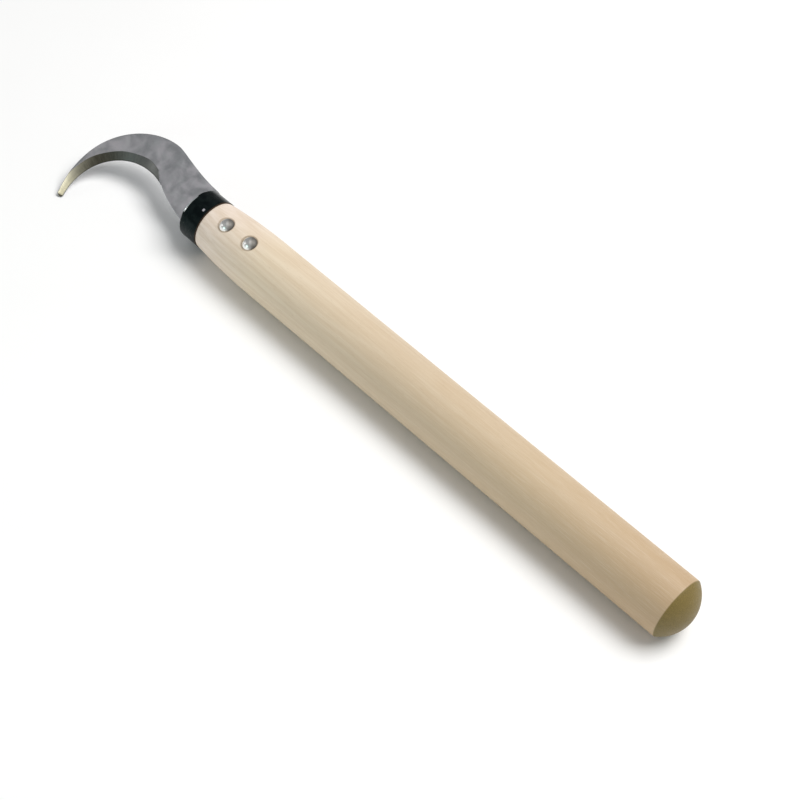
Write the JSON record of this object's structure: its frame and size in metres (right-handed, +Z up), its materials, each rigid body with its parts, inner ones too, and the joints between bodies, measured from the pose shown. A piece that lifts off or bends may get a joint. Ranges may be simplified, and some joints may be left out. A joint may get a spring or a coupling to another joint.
{
  "type": "hook knife",
  "caption": "Hook knife: a flat hooked steel blade with a ground inner edge, riveted into a long round wooden handle behind a short black ferrule.",
  "frame": {"origin": "on the handle's axis, in the middle of its parallel grip", "axes": "+X along the handle from the blade to the domed butt, +Z up from the table that the knife lies on; the hook's tip points towards -Y and down to the table"},
  "size_m": [0.3796, 0.0554, 0.0309],
  "materials": {
    "blade_steel": "satin ground steel, dark ground bevel",
    "ferrule_black": "thick glossy black lacquer",
    "handle_wood": "pale straight-grained wood, smooth, thinly sealed",
    "rivet_steel": "bright polished steel",
    "burr_steel": "plain steel washer"
  },
  "bodies": {
    "root": {"blade": "blade_steel", "ferrule": "ferrule_black", "handle": "handle_wood", "rivet_front": "rivet_steel", "rivet_rear": "rivet_steel", "burr_front": "burr_steel", "burr_rear": "burr_steel"}
  },
  "joints": []
}
